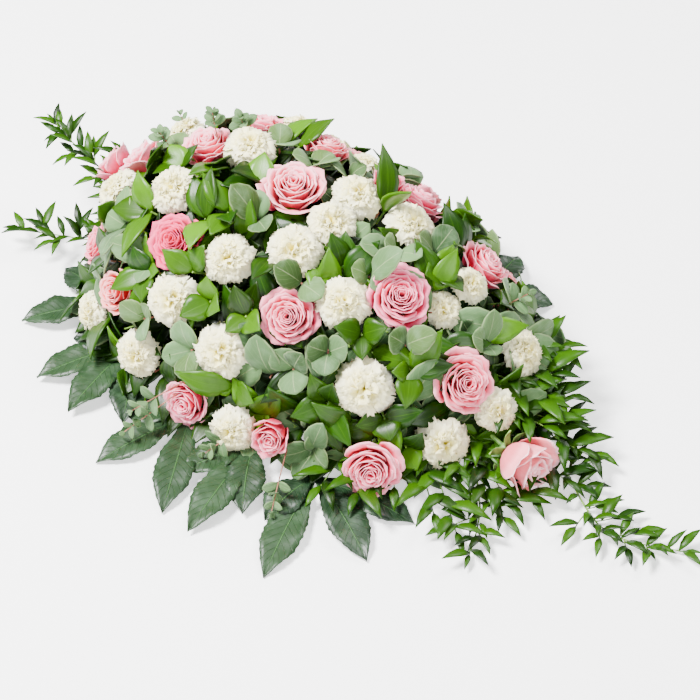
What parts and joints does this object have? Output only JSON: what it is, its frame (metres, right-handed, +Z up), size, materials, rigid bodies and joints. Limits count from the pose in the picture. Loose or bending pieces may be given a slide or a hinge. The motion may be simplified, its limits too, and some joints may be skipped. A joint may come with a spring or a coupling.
{
  "type": "casket spray",
  "caption": "Tapering oval casket spray of pink roses and white carnations over broad and trailing green leaves, set in a foam tray.",
  "frame": {"origin": "middle of the spray's outline, on the surface that it rests on", "axes": "+X along the spray towards its tapering tail, +Y towards the far side, +Z up"},
  "size_m": [0.9509, 0.598, 0.2415],
  "materials": {
    "rose_petal": "matt pink petals",
    "carnation_petal": "matt cream petals",
    "aralia_leaf": "glossy dark green leaf",
    "trailing_leaf": "satin green leaf",
    "ruscus_leaf": "glossy green leaf",
    "eucalyptus_leaf": "matt grey-green leaf",
    "wet_foam": "soaked floral foam",
    "tray_plastic": "moulded green plastic"
  },
  "bodies": {
    "root": {"rose_01": "rose_petal", "rose_02": "rose_petal", "rose_03": "rose_petal", "rose_04": "rose_petal", "rose_05": "rose_petal", "rose_06": "rose_petal", "rose_07": "rose_petal", "rose_08": "rose_petal", "rose_09": "rose_petal", "rose_10": "rose_petal", "rose_11": "rose_petal", "rose_12": "rose_petal", "rose_13": "rose_petal", "rose_14": "rose_petal", "rose_15": "rose_petal", "rose_16": "rose_petal", "rose_17": "rose_petal", "rose_18": "rose_petal", "rose_19": "rose_petal", "rose_20": "rose_petal", "carnation_01": "carnation_petal", "carnation_02": "carnation_petal", "carnation_03": "carnation_petal", "carnation_04": "carnation_petal", "carnation_05": "carnation_petal", "carnation_06": "carnation_petal", "carnation_07": "carnation_petal", "carnation_08": "carnation_petal", "carnation_09": "carnation_petal", "carnation_10": "carnation_petal", "carnation_11": "carnation_petal", "carnation_12": "carnation_petal", "carnation_13": "carnation_petal", "carnation_14": "carnation_petal", "carnation_15": "carnation_petal", "carnation_16": "carnation_petal", "carnation_17": "carnation_petal", "carnation_18": "carnation_petal", "carnation_19": "carnation_petal", "carnation_20": "carnation_petal", "carnation_21": "carnation_petal", "carnation_22": "carnation_petal", "carnation_23": "carnation_petal", "roses_far_side": "rose_petal", "carnations_far_side": "carnation_petal", "aralia_leaf_1": "aralia_leaf", "aralia_leaf_2": "aralia_leaf", "aralia_leaf_3": "aralia_leaf", "aralia_leaf_4": "aralia_leaf", "aralia_leaf_5": "aralia_leaf", "aralia_leaf_6": "aralia_leaf", "aralia_leaf_7": "aralia_leaf", "trailing_ruscus_right": "trailing_leaf", "trailing_ruscus_left": "trailing_leaf", "ruscus_left": "ruscus_leaf", "ruscus_right": "ruscus_leaf", "eucalyptus_left": "eucalyptus_leaf", "eucalyptus_right": "eucalyptus_leaf", "foam_block": "wet_foam", "spray_tray": "tray_plastic"}
  },
  "joints": []
}
